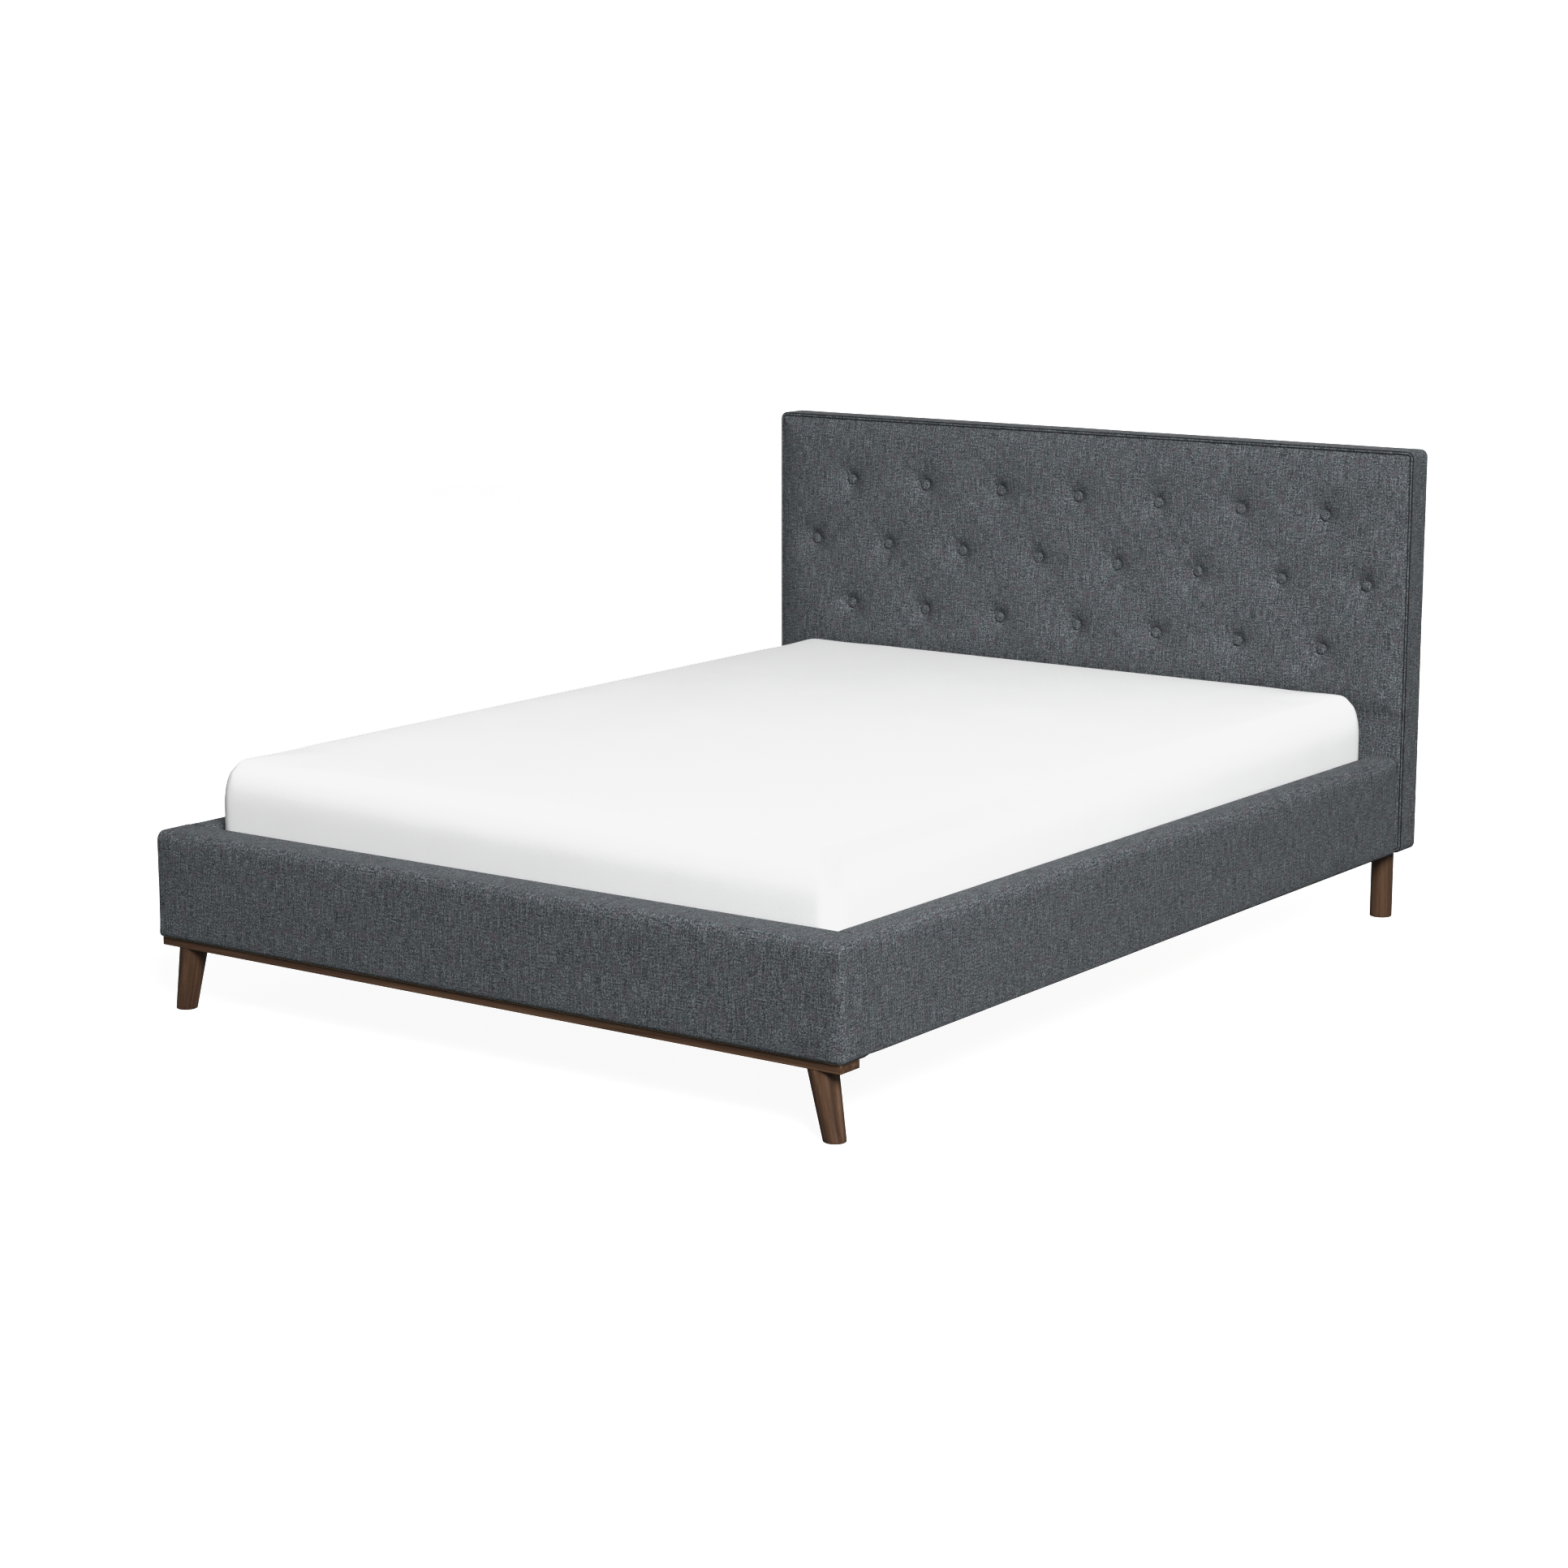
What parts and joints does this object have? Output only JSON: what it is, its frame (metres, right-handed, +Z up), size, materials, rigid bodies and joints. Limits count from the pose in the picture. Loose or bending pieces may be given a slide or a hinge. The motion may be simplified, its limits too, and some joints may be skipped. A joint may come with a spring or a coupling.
{
  "type": "upholstered headboard bed",
  "caption": "Low platform bed with a button-tufted fabric headboard, padded rails and footboard, a timber plinth and splayed round legs, and a loose mattress on slats.",
  "frame": {"origin": "on the floor, under the centre of the bed's bounding box", "axes": "+Y from the foot of the bed to its headboard, +X to the right of someone at the foot who faces the headboard, +Z up"},
  "size_m": [1.758, 2.3114, 1.085],
  "materials": {
    "upholstery_fabric": "matte",
    "walnut": "satin",
    "plywood": "matte",
    "pine": "matte",
    "foam": "matte",
    "back_cloth": "matte",
    "steel": "satin",
    "mattress_cover": "matte"
  },
  "bodies": {
    "bed_frame": {"centre_beam": "pine", "centre_leg_foot": "pine", "centre_leg_head": "pine", "corner_bracket_foot_left": "steel", "corner_bracket_foot_right": "steel", "corner_bracket_head_left": "steel", "corner_bracket_head_right": "steel", "footboard_core": "plywood", "footboard_cover": "upholstery_fabric", "footboard_plinth": "walnut", "front_leg_left": "walnut", "front_leg_right": "walnut", "headboard_back_cloth": "back_cloth", "headboard_button_01": "upholstery_fabric", "headboard_button_02": "upholstery_fabric", "headboard_button_03": "upholstery_fabric", "headboard_button_04": "upholstery_fabric", "headboard_button_05": "upholstery_fabric", "headboard_button_06": "upholstery_fabric", "headboard_button_07": "upholstery_fabric", "headboard_button_08": "upholstery_fabric", "headboard_button_09": "upholstery_fabric", "headboard_button_10": "upholstery_fabric", "headboard_button_11": "upholstery_fabric", "headboard_button_12": "upholstery_fabric", "headboard_button_13": "upholstery_fabric", "headboard_button_14": "upholstery_fabric", "headboard_button_15": "upholstery_fabric", "headboard_button_16": "upholstery_fabric", "headboard_button_17": "upholstery_fabric", "headboard_button_18": "upholstery_fabric", "headboard_button_19": "upholstery_fabric", "headboard_button_20": "upholstery_fabric", "headboard_button_21": "upholstery_fabric", "headboard_button_22": "upholstery_fabric", "headboard_cover": "upholstery_fabric", "headboard_foam": "foam", "headboard_panel": "plywood", "headboard_piping": "upholstery_fabric", "headboard_post_left": "pine", "headboard_post_right": "pine", "rear_leg_left": "walnut", "rear_leg_right": "walnut", "side_rail_core_left": "plywood", "side_rail_core_right": "plywood", "side_rail_cover_left": "upholstery_fabric", "side_rail_cover_right": "upholstery_fabric", "slat_01": "pine", "slat_02": "pine", "slat_03": "pine", "slat_04": "pine", "slat_05": "pine", "slat_06": "pine", "slat_07": "pine", "slat_08": "pine", "slat_09": "pine", "slat_10": "pine", "slat_ledger_left": "pine", "slat_ledger_right": "pine"},
    "mattress": {"mattress": "mattress_cover"}
  },
  "joints": [
    {"name": "mattress_lift", "type": "slide", "parent": "bed_frame", "child": "mattress", "axis": [0, 0, 1], "range_m": [0, 0.85]}
  ]
}
